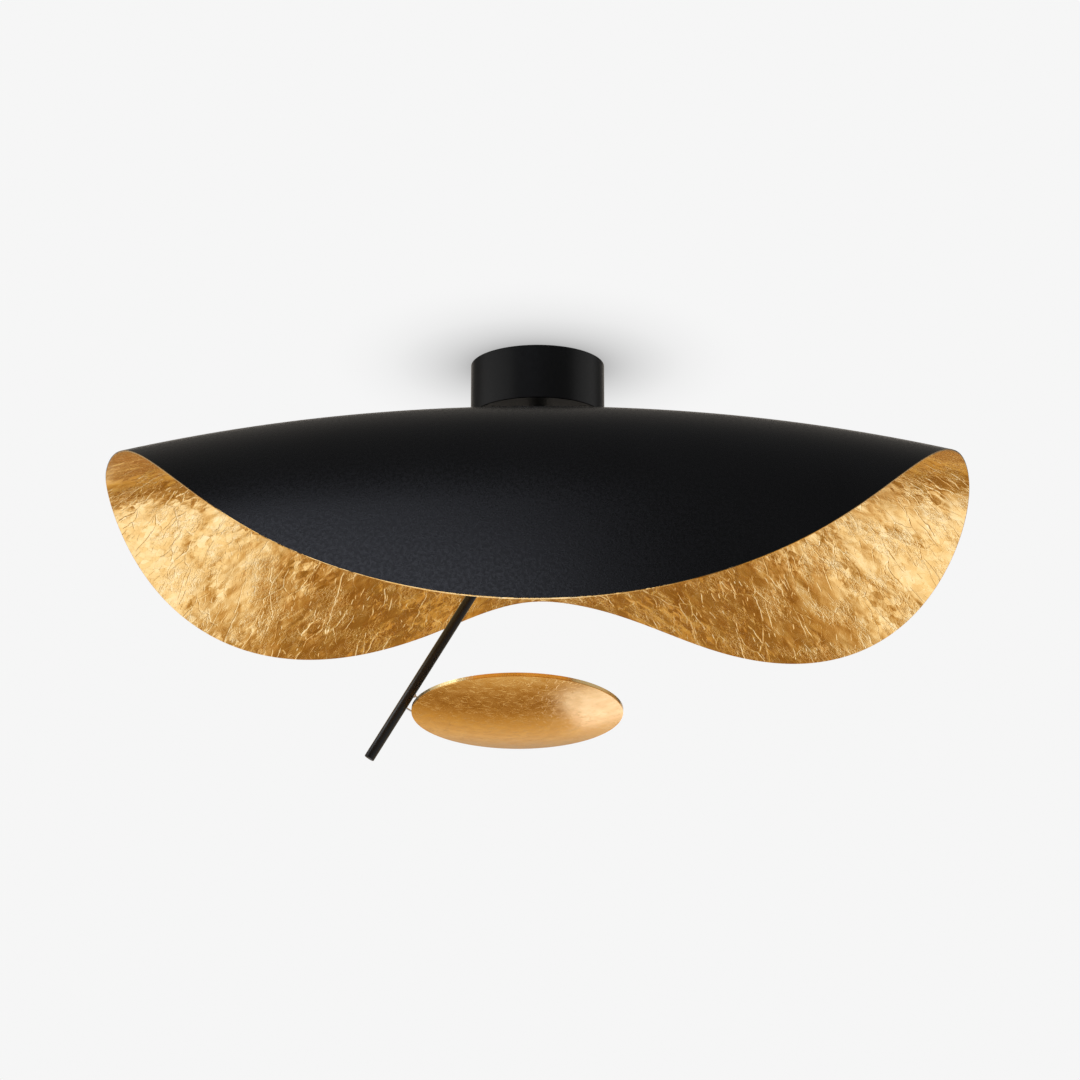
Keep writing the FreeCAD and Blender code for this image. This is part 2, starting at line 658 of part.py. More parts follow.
def set_disc(shape):
    """Tilt a piece of the disc head, front edge up, and move it to its place."""
    placed = shape.copy()
    placed.rotate(CENTRE, X_AXIS, -DISC_TILT)
    placed.translate(DISC_MIDDLE)
    return placed


def disc_screw_places():
    """Where the screws pass through the ledge, between the quarters."""
    radius = (RIM_INSIDE + LEDGE_EDGE) / 2
    turns = [2 * math.pi * (k + 0.5) / DISC_SCREWS for k in range(DISC_SCREWS)]
    return [at(radius * math.cos(turn), radius * math.sin(turn), RIM_UNDERSIDE) for turn in turns]


def disc_screw_hole(place):
    """The cutter for one screw through the plate and the ledge."""
    return Part.makeCylinder(DISC_SCREW_DIAMETER / 2 + FIT_GAP, RIM_HEIGHT, place)


def disc_screw(place):
    """A small pan screw that holds the plate on the ledge."""
    head = Part.makeCylinder(DISC_SCREW_HEAD / 2, DISC_SCREW_HEAD_HEIGHT, place + Z_AXIS * RIM_HEIGHT)
    return head.fuse(Part.makeCylinder(DISC_SCREW_DIAMETER / 2, RIM_HEIGHT, place))


def disc_rim():
    """The turned band round the disc: a ledge inside for the plate, a blind hole for the lower pin."""
    band = turned(outline([
        (RIM_INSIDE, RIM_UNDERSIDE), (DISC_RADIUS, RIM_UNDERSIDE), (DISC_RADIUS, RIM_TOP),
        (LEDGE_EDGE, RIM_TOP), (LEDGE_EDGE, LEDGE_TOP), (RIM_INSIDE, LEDGE_TOP)]))
    for place in disc_screw_places():
        band = band.cut(disc_screw_hole(place))
    return set_disc(band).cut(lower_pin(2 * RUN_GAP))


def disc_plate():
    """The flat plate on the ledge, which carries the LED board and spreads its heat."""
    plate = Part.makeCylinder(LEDGE_EDGE - FIT_GAP, PLATE_THICKNESS, at(0, 0, LEDGE_TOP))
    for place in disc_screw_places():
        plate = plate.cut(disc_screw_hole(place))
    return set_disc(plate)


def cap_arc(radius, level, depth):
    """A shallow round bowl in section: its lowest point, a point between, and its edge at a level."""
    sphere = (radius ** 2 + depth ** 2) / (2 * depth)
    half_turn = math.asin(radius / sphere) / 2
    middle = at(sphere * math.sin(half_turn), 0, level - depth + sphere * (1 - math.cos(half_turn)))
    return at(0, 0, level - depth), middle, at(radius, 0, level)


def disc_dome():
    """The thin spun dish under the rim: one shallow arc below, a flat seat for the rim above."""
    outer = DISC_RADIUS - DOME_SETBACK
    below = cap_arc(outer, RIM_UNDERSIDE - DOME_WALL, DOME_DEPTH)
    inside = cap_arc(outer - RIM_WIDTH, RIM_UNDERSIDE, DOME_DEPTH)
    corner = at(outer, 0, RIM_UNDERSIDE)
    return set_disc(turned([Part.Arc(*below).toShape(), Part.makeLine(below[2], corner),
                            Part.makeLine(corner, inside[2]), Part.Arc(*reversed(inside)).toShape(),
                            Part.makeLine(inside[0], below[0])]))


def led_board():
    """The ring of circuit board on the plate."""
    return set_disc(ring(BOARD_DIAMETER, BOARD_HOLE, RIM_TOP + BOARD_THICKNESS, BOARD_THICKNESS))


def led_chips():
    """The LEDs, in a ring half way across the board."""
    radius = (BOARD_DIAMETER + BOARD_HOLE) / 4
    half = CHIP_SIZE / 2
    corner = at(radius - half, -half, RIM_TOP + BOARD_THICKNESS)
    chips = []
    for k in range(CHIP_COUNT):
        chip = Part.makeBox(CHIP_SIZE, CHIP_SIZE, CHIP_HEIGHT, corner)
        chip.rotate(CENTRE, Z_AXIS, 360 * k / CHIP_COUNT)
        chips.append(set_disc(chip))
    return chips


def diffuser():
    """The opal cover over the LEDs, a shallow cup that stands on the plate."""
    outer = BOARD_DIAMETER / 2 + DIFFUSER_MARGIN
    inner = outer - DIFFUSER_WALL
    top = RIM_TOP + DIFFUSER_HEIGHT
    return set_disc(turned(outline([(0, top), (outer - DIFFUSER_WALL, top), (outer, top - DIFFUSER_WALL),
                                    (outer, RIM_TOP), (inner, RIM_TOP), (inner, top - DIFFUSER_WALL),
                                    (0, top - DIFFUSER_WALL)])))


# Contact pins

def plate_point(clearance=0.0):
    """How far out along the upper pin its line meets the plate, less a clearance."""
    upwards = FreeCAD.Rotation(X_AXIS, -DISC_TILT).multVec(Z_AXIS)
    start = on_rod(UPPER_PIN_STATION)
    height = (start - DISC_MIDDLE).dot(upwards) - RIM_TOP
    return (height - clearance) / -PIN_LINE.dot(upwards)


def lower_pin(wider=0.0):
    """The pin from the tube's wall into the rim, or the hole for it."""
    start = on_rod(LOWER_PIN_STATION, -ROD_BORE / 4)
    end = on_rod(LOWER_PIN_STATION, ROD_DIAMETER / 2 + DISC_ROD_GAP + PIN_BITE)
    return rod_between(start, end, PIN_DIAMETER + wider)


def upper_pin(wider=0.0):
    """The pin from the insulating bush into the socket on the plate, or the hole for it."""
    start = on_rod(UPPER_PIN_STATION, -ROD_BORE / 4)
    end = on_rod(UPPER_PIN_STATION, plate_point(SOCKET_FLOOR))
    return rod_between(start, end, PIN_DIAMETER + wider)


def pin_bush():
    """The white bush that keeps the upper pin clear of the tube."""
    bush = rod_between(on_rod(UPPER_PIN_STATION, ROD_BORE / 4),
                       on_rod(UPPER_PIN_STATION, ROD_DIAMETER / 2 + BUSH_COLLAR), BUSH_DIAMETER)
    return bush.cut(upper_pin(2 * RUN_GAP))


def pin_socket():
    """The slanted insulating socket on the plate, cut off flat where it stands."""
    seat = plate_point()
    socket = rod_between(on_rod(UPPER_PIN_STATION, seat - SOCKET_LENGTH),
                         on_rod(UPPER_PIN_STATION, seat + SOCKET_DIAMETER), SOCKET_DIAMETER)
    below = set_disc(Part.makeBox(DISC_DIAMETER, DISC_DIAMETER, DISC_DIAMETER,
                                  at(-DISC_RADIUS, -DISC_RADIUS, RIM_TOP - DISC_DIAMETER)))
    return socket.cut(below).cut(upper_pin(2 * RUN_GAP))


def build():
    """Make every piece and write its file."""
    nut_tops = (-STRAP_THICKNESS, BASE_TOP + NUT_HEIGHT, LEAF_NUT_TOP, RETAINER_TOP)
    os.makedirs("parts", exist_ok=True)
    save("mounting_strap", mounting_strap())
    save("earth_screw", earth_screw())
    save("canopy_shell", canopy_shell())
    save("canopy_base", canopy_base())
    save("canopy_side_screws", side_screw(-1), side_screw(1))
    save("led_driver", led_driver())
    save("driver_screws", *[driver_screw(place) for place in driver_screw_places()])
    save("terminal_block", terminal_block())
    save("terminal_screws", *[terminal_screw(place) for place in terminal_places()])
    save("centre_stem", centre_stem())
    save("stem_nuts", *[stem_nut(top) for top in nut_tops])
    save("neck_sleeve", ring(NECK_DIAMETER, 2 * STEM_HOLE, CANOPY_BOTTOM, NECK_LENGTH))
    save("upper_clamp_plate", clamp_plate(UPPER_PLATE_TOP, True))
    save("lower_clamp_plate", clamp_plate(LOWER_PLATE_TOP, False))
    save("felt_washers", *[ring(CLAMP_DIAMETER, 2 * STEM_HOLE, top, FELT_THICKNESS)
                           for top in (UPPER_FELT_TOP, LEAF_UNDERSIDE)])
    save("leaf_shade", leaf_shade())
    save("swivel_washer", ring(WASHER_DIAMETER, 2 * STEM_HOLE, SWIVEL_WASHER_TOP, WASHER_THICKNESS))
    save("swivel_yoke", swivel_yoke())
    save("pivot_bolt", pivot_bolt())
    save("pivot_nut", pivot_nut())
    save("pivot_washers", pivot_washer(-1), pivot_washer(1))
    save("rod_knuckle", rod_knuckle())
    save("rod_pin", rod_between(*rod_pin_ends(), ROD_PIN_DIAMETER))
    save("rod_tube", rod_tube())
    save("rod_cap", rod_cap())
    save("pin_bush", pin_bush())
    save("contact_pins", lower_pin(), upper_pin())
    save("disc_rim", disc_rim())
    save("disc_plate", disc_plate())
    save("disc_dome", disc_dome())
    save("disc_screws", *[set_disc(disc_screw(place)) for place in disc_screw_places()])
    save("led_board", led_board())
    save("led_chips", *led_chips())
    save("diffuser", diffuser())
    save("pin_socket", pin_socket())


build()
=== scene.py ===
# %% [markdown]
# # A lotus leaf ceiling light
# The lamp is a round sheet of metal, a metre across, bent down in three soft flaps like a lotus leaf.
# Outside it is satin black, inside it is gilded with metal leaf.
# A thin rod leans out under it and holds a small gilded disc that throws its light up into the leaf.
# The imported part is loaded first. It fixes every size and place, in metres, with the ceiling at height zero.

# %% Load the part
import json
import math

import bmesh
import bpy
import numpy as np
from mathutils import Matrix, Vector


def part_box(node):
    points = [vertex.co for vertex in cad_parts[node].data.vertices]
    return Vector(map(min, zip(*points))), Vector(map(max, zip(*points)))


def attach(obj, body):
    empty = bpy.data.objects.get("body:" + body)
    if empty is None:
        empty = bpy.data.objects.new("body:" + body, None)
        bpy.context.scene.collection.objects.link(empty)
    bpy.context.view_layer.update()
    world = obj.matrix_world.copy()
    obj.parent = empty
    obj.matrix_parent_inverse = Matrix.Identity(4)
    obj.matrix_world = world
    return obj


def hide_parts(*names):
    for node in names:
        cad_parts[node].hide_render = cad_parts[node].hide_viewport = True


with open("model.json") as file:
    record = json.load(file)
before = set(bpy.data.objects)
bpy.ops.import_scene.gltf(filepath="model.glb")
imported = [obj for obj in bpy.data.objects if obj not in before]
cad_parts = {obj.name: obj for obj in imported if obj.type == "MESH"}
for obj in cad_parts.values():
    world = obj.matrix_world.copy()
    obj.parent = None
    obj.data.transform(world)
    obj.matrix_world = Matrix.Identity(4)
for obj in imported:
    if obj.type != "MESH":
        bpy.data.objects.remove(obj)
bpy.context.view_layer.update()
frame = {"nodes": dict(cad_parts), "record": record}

nodes = frame["nodes"]

# %% [markdown]
# ## The camera
# The photograph looks up at the lamp from below and in front, by about fifteen degrees.
# A long lens from three metres away keeps the canopy's ellipse as flat as it is in the photograph.
# The camera comes first, because every later look is seen through it.

# %% Camera
LOOK_AT = np.array([0.00285, 0.0, -0.21309])
LOOK_FROM_BELOW = math.radians(15.2)
LOOK_ASIDE = -0.0053
CAMERA_DISTANCE = 3.0
CAMERA_LENS = 85.686
SENSOR_WIDTH = 36.0
FAR_CLIP = 60.0

forward = np.array([math.sin(LOOK_ASIDE) * math.cos(LOOK_FROM_BELOW),
                    math.cos(LOOK_ASIDE) * math.cos(LOOK_FROM_BELOW),
                    math.sin(LOOK_FROM_BELOW)])
rightward = np.array([math.cos(LOOK_ASIDE), -math.sin(LOOK_ASIDE), 0.0])
upward = np.cross(rightward, forward)

camera = bpy.data.objects.new("camera", bpy.data.cameras.new("camera"))
bpy.context.scene.collection.objects.link(camera)
pose = np.eye(4)
pose[:3, :3] = np.column_stack([rightward, upward, -forward])
pose[:3, 3] = LOOK_AT - CAMERA_DISTANCE * forward
camera.matrix_world = Matrix(pose.tolist())
camera.data.lens = CAMERA_LENS
camera.data.sensor_width = SENSOR_WIDTH
camera.data.clip_end = FAR_CLIP
bpy.context.scene.camera = camera
bpy.context.scene.view_settings.view_transform = "Standard"
print("camera at", np.round(pose[:3, 3], 3))

# %% [markdown]
# ## Surfaces from arrays
# Every new piece here is a grid of points, worked out as one array of rows and columns.
# Numbers for all faces come from the same arithmetic on whole arrays, so no loop walks over the points.
# A row or a column may close on itself. Points that meet at a pole are merged afterwards.

# %% Grid to mesh
MERGE_WITHIN = 1e-6
SHARP_FROM = math.radians(35)
CUBIC_CENTIMETRES = 1e6


def grid_faces(rows, columns, close_rows, close_columns):
    """Corner numbers of all quads: a point, its right neighbour, and the two points of the next row."""
    row, column = np.meshgrid(np.arange(rows if close_rows else rows - 1),
                              np.arange(columns if close_columns else columns - 1), indexing="ij")
    next_row, next_column = (row + 1) % rows, (column + 1) % columns
    corners = [row * columns + column, row * columns + next_column,
               next_row * columns + next_column, next_row * columns + column]
    return np.stack(corners, axis=-1).reshape(-1, 4)


def grid_piece(name, points, close_rows=True, close_columns=True, flat=None):
    """A mesh object from a grid of points. flat, a grid of pairs in metres, becomes a UV map of that name."""
    rows, columns, _ = points.shape
    faces = grid_faces(rows, columns, close_rows, close_columns)
    mesh = bpy.data.meshes.new(name)
    mesh.vertices.add(rows * columns)
    mesh.vertices.foreach_set("co", points.astype(np.float32).ravel())
    mesh.loops.add(faces.size)
    mesh.loops.foreach_set("vertex_index", faces.astype(np.int32).ravel())
    mesh.polygons.add(len(faces))
    mesh.polygons.foreach_set("loop_start", np.arange(0, faces.size, 4, dtype=np.int32))
    mesh.polygons.foreach_set("loop_total", np.full(len(faces), 4, dtype=np.int32))
    if flat is not None:
        layer = mesh.uv_layers.new(name="flat")
        layer.data.foreach_set("uv", flat.reshape(-1, 2)[faces.ravel()].astype(np.float32).ravel())
    mesh.update(calc_edges=True)
    shell = bmesh.new()
    shell.from_mesh(mesh)
    bmesh.ops.remove_doubles(shell, verts=shell.verts, dist=MERGE_WITHIN)
    shell.to_mesh(mesh)
    shell.free()
    mesh.validate()
    mesh.shade_smooth()
    mesh.set_sharp_from_angle(angle=SHARP_FROM)
    piece = bpy.data.objects.new(name, mesh)
    bpy.context.scene.collection.objects.link(piece)
    return piece


def volume_of(piece):
    """Enclosed volume in cubic centimetres: a sixth of the sum of triple products over the triangles."""
    mesh = piece.data
    mesh.calc_loop_triangles()
    corners = np.empty(len(mesh.loop_triangles) * 3, np.int32)
    mesh.loop_triangles.foreach_get("vertices", corners)
    places = np.empty(len(mesh.vertices) * 3, np.float32)
    mesh.vertices.foreach_get("co", places)
    a, b, c = places.reshape(-1, 3)[corners.reshape(-1, 3)].astype(float).transpose(1, 0, 2)
    return float(np.einsum("ij,ij->i", a, np.cross(b, c)).sum() / 6 * CUBIC_CENTIMETRES)


print("grids become meshes, merged within", MERGE_WITHIN, "metres")

# %% [markdown]
# ## The shape of the leaf
# The leaf is made from a flat disc. Each of its three flaps bends about a line that lies across the disc.
# Along the sheet the slope eases in and out between two distances, so the bend is soft and never a fold.
# Summing the cosine and the sine of that slope tells how far a point moves in and how far it drops.
# The flat middle between the clamp plates stays as it is, and a slight dish falls away all round it.

# %% Leaf formula
LEAF_RADIUS = 0.5
LEAF_TOP = -0.102
LEAF_THICKNESS = 0.0015
LEAF_FLAT = 0.042
LEAF_DISH = 0.058
STEM_HOLE = 0.0061
# heading from the front, where the bend starts and ends, its angle, and how much its line bows
FLAPS = [(0.0, 0.122, 0.405, 62.3, 0.0),
         (-131.8, 0.118, 0.352, 26.3, 0.57),
         (126.1, 0.065, 0.418, 30.3, 0.48)]
BEND_SAMPLES = 3000
PROBE_STEP = 0.0005


def bend_tables(start, end, angle):
    """Shortening and drop along a bend: running sums of 1 - cosine and of sine of the eased slope."""
    distance = np.linspace(0.0, 2 * LEAF_RADIUS, BEND_SAMPLES)
    share = np.clip((distance - start) / (end - start), 0, 1)
    slope = math.radians(angle) * share * share * (3 - 2 * share)
    step = distance[1]
    running = [np.concatenate([[0], np.cumsum((values[1:] + values[:-1]) / 2) * step])
               for values in (1 - np.cos(slope), np.sin(slope))]
    return distance, running[0], running[1]


BENDS = [bend_tables(start, end, angle) for _, start, end, angle, _ in FLAPS]


def leaf_points(radius, azimuth):
    """Upper face of the leaf at flat polar places: the flat point, less each flap's shortening and drop."""
    flat_x, flat_y = radius * np.sin(azimuth), -radius * np.cos(azimuth)
    x, y = flat_x.copy(), flat_y.copy()
    z = LEAF_TOP - LEAF_DISH * (np.maximum(radius - LEAF_FLAT, 0) / (LEAF_RADIUS - LEAF_FLAT)) ** 2
    for (heading, _, _, _, bow), (distance, shorter, drop) in zip(FLAPS, BENDS):
        out_x, out_y = math.sin(math.radians(heading)), -math.cos(math.radians(heading))
        along = flat_x * out_x + flat_y * out_y
        across = flat_y * out_x - flat_x * out_y
        reach = along - bow * across ** 2 / LEAF_RADIUS
        x -= out_x * np.interp(reach, distance, shorter)
        y -= out_y * np.interp(reach, distance, shorter)
        z -= np.interp(reach, distance, drop)
    return np.stack([x, y, z], axis=-1)


def leaf_depth(radius, azimuth, depth):
    """Points at a depth under the upper face, along the normal: the cross product of two short steps."""
    outward = leaf_points(radius + PROBE_STEP, azimuth) - leaf_points(radius - PROBE_STEP, azimuth)
    turn = PROBE_STEP / radius
    sideways = leaf_points(radius, azimuth + turn) - leaf_points(radius, azimuth - turn)
    normal = np.cross(outward, sideways)
    normal /= np.linalg.norm(normal, axis=-1, keepdims=True)
    return leaf_points(radius, azimuth) - normal * depth[..., None]


print("front rim drops to", np.round(leaf_points(np.array([LEAF_RADIUS]), np.array([0.0]))[0], 3))

# %% [markdown]
# ## The two skins of the leaf
# One sheet has two finishes, so it is made as two skins that lie on each other.
# The black skin is the upper half of the thickness. The gilded skin is the lower half.
# It turns up round the rim, where it shows as a thin gold line in front of the black.
# Each skin is a closed loop of rows, out along one face and back along the other, carried round the leaf.

# %% Leaf skins
LEAF_COLUMNS = 384
LEAF_ROWS = 120
HIDDEN_ROWS = 36
RIM_CROWDING = 0.9
SKIN_SPLIT = 0.0007
RIM_LIP = 0.0006
LIP_DEPTH = 0.00008
EDGE_CHAMFER = 0.0002
EDGE_STEP = 0.0005


def leaf_skin(name, loop_radius, loop_depth):
    """A closed skin: a loop of radius and depth, carried once round the leaf's azimuth."""
    azimuth = np.linspace(0, 2 * math.pi, LEAF_COLUMNS, endpoint=False)
    radius, turn = np.meshgrid(loop_radius, azimuth, indexing="ij")
    depth = np.broadcast_to(loop_depth[:, None], radius.shape)
    flat = np.stack([radius * np.sin(turn), -radius * np.cos(turn)], axis=-1)
    return grid_piece(name, leaf_depth(radius, turn, depth), flat=flat)


def radii(inner, outer, count):
    """Radii from the stem hole outwards, closer together towards the rim, where the leaf bends most."""
    return inner + (outer - inner) * np.linspace(0, 1, count) ** RIM_CROWDING


black_edge = LEAF_RADIUS - RIM_LIP
hidden_face = [(r, SKIN_SPLIT) for r in radii(STEM_HOLE, black_edge, HIDDEN_ROWS)]
black_loop = [(r, 0.0) for r in radii(STEM_HOLE, black_edge, LEAF_ROWS)] + hidden_face[::-1]
gold_loop = hidden_face + [(black_edge, LIP_DEPTH), (LEAF_RADIUS, LIP_DEPTH)]
gold_loop += [(LEAF_RADIUS, LEAF_THICKNESS - EDGE_CHAMFER), (LEAF_RADIUS - EDGE_CHAMFER, LEAF_THICKNESS)]
gold_loop += [(r, LEAF_THICKNESS) for r in radii(STEM_HOLE, LEAF_RADIUS - EDGE_STEP, LEAF_ROWS)[::-1]]

leaf_outside = leaf_skin("leaf_outside", *np.array(black_loop).T)
leaf_inside = leaf_skin("leaf_inside", *np.array(gold_loop).T)
for skin, slot in ((leaf_outside, "leaf_black"), (leaf_inside, "gold_leaf")):
    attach(skin, "root")
    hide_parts("leaf_shade")
    print(skin.name, len(skin.data.polygons), "faces,", round(volume_of(skin), 1), "cubic centimetres")

# %% [markdown]
# ## The gilded disc
# The disc's underside is a shallow spun dish, so its section is an arc carried round an upright axis.
# It is worked out flat about its own middle, tilted so that the front edge lifts, and moved to its place.
# The solid's own dome could be kept, but a mirror-like finish shows every facet, so the dish is finer.

# %% Disc dish
DISC_TILT = math.radians(8.7)
DISC_COLUMNS = 256
DISH_RADIUS = 0.1209
DISH_EDGE = 0.0008
DISH_DEPTH = 0.011
RIM_WIDTH = 0.012
RIM_UNDERSIDE = -0.0018
OUTER_ARC_POINTS = 72
INNER_ARC_POINTS = 24
disc_low, disc_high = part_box("disc_rim")
disc_middle = np.array((disc_low + disc_high) / 2)


def set_disc(points):
    """Turn points of the flat disc about the X axis, front edge up, and carry them to the disc's middle."""
    c, s = math.cos(-DISC_TILT), math.sin(-DISC_TILT)
    turn = np.array([[1, 0, 0], [0, c, -s], [0, s, c]])
    return points @ turn.T + disc_middle


def bowl(radius, level, depth, count):
    """Section of a round bowl, middle to edge: an arc whose sphere follows from radius and depth."""
    sphere = (radius ** 2 + depth ** 2) / (2 * depth)
    turn = np.linspace(0, math.asin(radius / sphere), count)
    return np.stack([sphere * np.sin(turn), level - depth + sphere * (1 - np.cos(turn))], axis=-1)


def turned(profile, columns):
    """A section of radius and level, carried round the upright axis, and its flat places for the finish."""
    angle = np.linspace(0, 2 * math.pi, columns, endpoint=False)
    radius, level = profile[:, 0][:, None], profile[:, 1][:, None]
    points = np.stack([radius * np.cos(angle), radius * np.sin(angle), level + 0 * angle], axis=-1)
    return points, points[..., :2]


outer_arc = bowl(DISH_RADIUS, RIM_UNDERSIDE - DISH_EDGE, DISH_DEPTH, OUTER_ARC_POINTS)
inner_arc = bowl(DISH_RADIUS - RIM_WIDTH, RIM_UNDERSIDE, DISH_DEPTH, INNER_ARC_POINTS)[::-1]
dish_section = np.concatenate([outer_arc, [[DISH_RADIUS, RIM_UNDERSIDE]], inner_arc])
dish_points, dish_flat = turned(dish_section, DISC_COLUMNS)
disc_dish = grid_piece("disc_dish", set_disc(dish_points), close_rows=False, flat=dish_flat)
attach(disc_dish, "arm")
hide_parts("disc_dome")
print("disc dish", round(volume_of(disc_dish), 1), "cubic centimetres, middle", np.round(disc_middle, 4))

# %% [markdown]
# ## Node helpers
# A finish is a small graph of nodes. It could be drawn by hand in the editor, but text can be read again.
# These helpers add a node, set or link its inputs by name and hand back an output.
# Patterns are written in metres. They start from Object coordinates, or from a piece's own flat map
# where they follow a bend.

# %% Node helpers
def finish(name, **sockets):
    """A new material. Its shader's plain sockets are set directly."""
    material = bpy.data.materials.new(name)
    material.use_nodes = True
    shader = material.node_tree.nodes["Principled BSDF"]
    for socket, value in sockets.items():
        shader.inputs[socket.replace("_", " ")].default_value = value
    return material, shader


def add(material, kind, output=0, settings=None, **inputs):
    """Add a node, set its settings, set or link its inputs, and return one of its outputs."""
    tree = material.node_tree
    made = tree.nodes.new("ShaderNode" + kind)
    for key, value in (settings or {}).items():
        setattr(made, key, value)
    for key, value in inputs.items():
        key = int(key[1:]) if key[0] == "i" and key[1:].isdigit() else key.replace("_", " ")
        if isinstance(value, bpy.types.NodeSocket):
            tree.links.new(value, made.inputs[key])
        else:
            made.inputs[key].default_value = value
    return made.outputs[output]


def calc(material, operation, a, b=0.0, c=0.0, clamp=False):
    """One step of arithmetic on single values."""
    return add(material, "Math", settings={"operation": operation, "use_clamp": clamp}, i0=a, i1=b, i2=c)


def vector(material, operation, a, b=(0, 0, 0), output=0, **more):
    """One step of arithmetic on vectors."""
    return add(material, "VectorMath", output, settings={"operation": operation}, i0=a, i1=b, **more)


def remap(material, value, low, high, to_low=0.0, to_high=1.0):
    """Smooth step from one range to another."""
    return add(material, "MapRange", settings={"interpolation_type": "SMOOTHSTEP"}, Value=value,
               From_Min=low, From_Max=high, To_Min=to_low, To_Max=to_high)


def noise(material, where, scale, detail=2.0, roughness=0.5, output=0):
    """Cloudy noise, with scale in features per metre."""
    return add(material, "TexNoise", output, Vector=where, Scale=scale, Detail=detail, Roughness=roughness)


def ramp(material, value, *stops):
    """A colour ramp from pairs of place and colour."""
    made = material.node_tree.nodes.new("ShaderNodeValToRGB")
    elements = made.color_ramp.elements
    while len(elements) < len(stops):
        elements.new(0.5)
    for element, (place, colour) in zip(elements, stops):
        element.position = place
        element.color = (*colour, 1)
    material.node_tree.links.new(value, made.inputs["Fac"])
    return made.outputs["Color"]


def blend(material, factor, a, b):
    """Mix two colours by a factor."""
    made = material.node_tree.nodes.new("ShaderNodeMix")
    made.data_type = "RGBA"
    for socket, value in ((made.inputs[0], factor), (made.inputs[6], a), (made.inputs[7], b)):
        if isinstance(value, bpy.types.NodeSocket):
            material.node_tree.links.new(value, socket)
        else:
            socket.default_value = value if isinstance(value, float) else (*value, 1)
    return made.outputs[2]


def dress(material, shader, **links):
    """Link outputs to the shader's sockets by name."""
    for socket, value in links.items():
        material.node_tree.links.new(value, shader.inputs[socket.replace("_", " ")])


def own_place(material):
    """Object coordinates, in metres."""
    return add(material, "TexCoord", "Object")


def flat_place(material):
    """The place on the flat sheet, from the piece's own map, in metres."""
    return add(material, "UVMap", settings={"uv_map": "flat"})


print("node helpers ready")

# %% [markdown]
# ## Satin black
# The outside is coated in a satin black with a very fine, leathery grain.
# It could be one plain dark colour, but without a grain its highlights would look like glass.
# The grain is two sizes of noise in the bump, and the gloss wanders a little, as a sprayed coat does.

# %% Black finishes
BLACK_TONES = ((0.3, (0.0026, 0.0026, 0.0028)), (0.7, (0.0048, 0.0049, 0.0054)))
BLACK_CLOUDS = 9.0
GRAIN_DEPTH = 0.0006
COARSE_SHARE = 0.6


def black_coat(name, place, grain, strength, low_gloss, high_gloss):
    """Black with a fine grain: cloudy colour and roughness, and a bump from two sizes of noise."""
    material, shader = finish(name)
    where = place(material)
    colour = ramp(material, noise(material, where, BLACK_CLOUDS, 4.0), *BLACK_TONES)
    fine = noise(material, where, grain, 3.0, 0.6)
    coarse = noise(material, where, grain / 3, 2.0)
    height = calc(material, "ADD", fine, calc(material, "MULTIPLY", coarse, COARSE_SHARE))
    rough = remap(material, noise(material, where, grain / 2, 4.0, 0.6), 0.35, 0.65, low_gloss, high_gloss)
    bump = add(material, "Bump", Strength=strength, Distance=GRAIN_DEPTH, Height=height)
    dress(material, shader, Base_Color=colour, Roughness=rough, Normal=bump)
    return material


leaf_black = black_coat("satin_black_leaf", flat_place, 520.0, 0.13, 0.22, 0.33)
black_paint = black_coat("black_powder_coat", own_place, 900.0, 0.08, 0.31, 0.39)
leaf_outside.data.materials.append(leaf_black)
print("black finishes made")

# %% [markdown]
# ## Lines and facets of metal leaf
# Metal leaf is far thinner than paper, and it wrinkles as it is laid and pressed down.
# Thousands of wrinkles are finer than any mesh here, so they are relief in the finish, not folds of the mesh.
# Short lines lie one in each random cell. Veins run along the edges between random cells.
# Facets are cells too: each is a small plane with its own tilt, as in crinkled foil.

# %% Lines and facets
MIDDLE_GREY = (0.5, 0.5, 0.5)
GOLD_TONES = ((0.20, (0.76, 0.39, 0.075)), (0.42, (0.87, 0.50, 0.13)),
              (0.60, (0.95, 0.61, 0.21)), (0.90, (0.99, 0.74, 0.36)))
LINE_ENDS = (0.20, 0.50)
LINE_STRENGTHS = (0.25, 0.85)
SHORTEST_LINE = 0.4


def times(material, a, b):
    """Product of two values: a layer and the mask that hides some of it."""
    return calc(material, "MULTIPLY", a, b)


def weighed(material, layers, weights, start):
    """Start value plus each layer times its weight."""
    for name, layer in layers.items():
        start = calc(material, "MULTIPLY_ADD", layer, weights[name], start)
    return start


def stirred(material, where, scale, amount):
    """A place moved about by cloudy noise, so that lines drawn on it wander."""
    stir = vector(material, "SUBTRACT", noise(material, where, scale, 3.0, output="Color"), MIDDLE_GREY)
    return vector(material, "MULTIPLY_ADD", stir, (amount, amount, amount), i2=where)


def patches(material, where, scale, low, high):
    """1 inside cloudy patches and 0 outside them, with soft borders."""
    return remap(material, noise(material, where, scale, 3.0), low, high)


def facets(material, where, cells):
    """Crinkled foil: as height, a cell's tilt times the way from its middle, and as tone, part of that tilt."""
    made = material.node_tree.nodes.new("ShaderNodeTexVoronoi")
    made.inputs["Scale"].default_value = cells
    material.node_tree.links.new(where, made.inputs["Vector"])
    way = vector(material, "SUBTRACT", where, made.outputs["Position"])
    tilt = vector(material, "SUBTRACT", made.outputs["Color"], MIDDLE_GREY)
    rise = times(material, vector(material, "DOT_PRODUCT", way, tilt, output="Value"), cells)
    return rise, add(material, "SeparateXYZ", "Z", Vector=tilt)


def creases(material, where, cells, width):
    """Thin lines of a crumpled sheet: 1 on the edges between random cells, falling to 0 within a width."""
    away = add(material, "TexVoronoi", "Distance", settings={"feature": "DISTANCE_TO_EDGE"},
               Vector=where, Scale=cells)
    return remap(material, away, 0.0, width * cells, 1.0, 0.0)


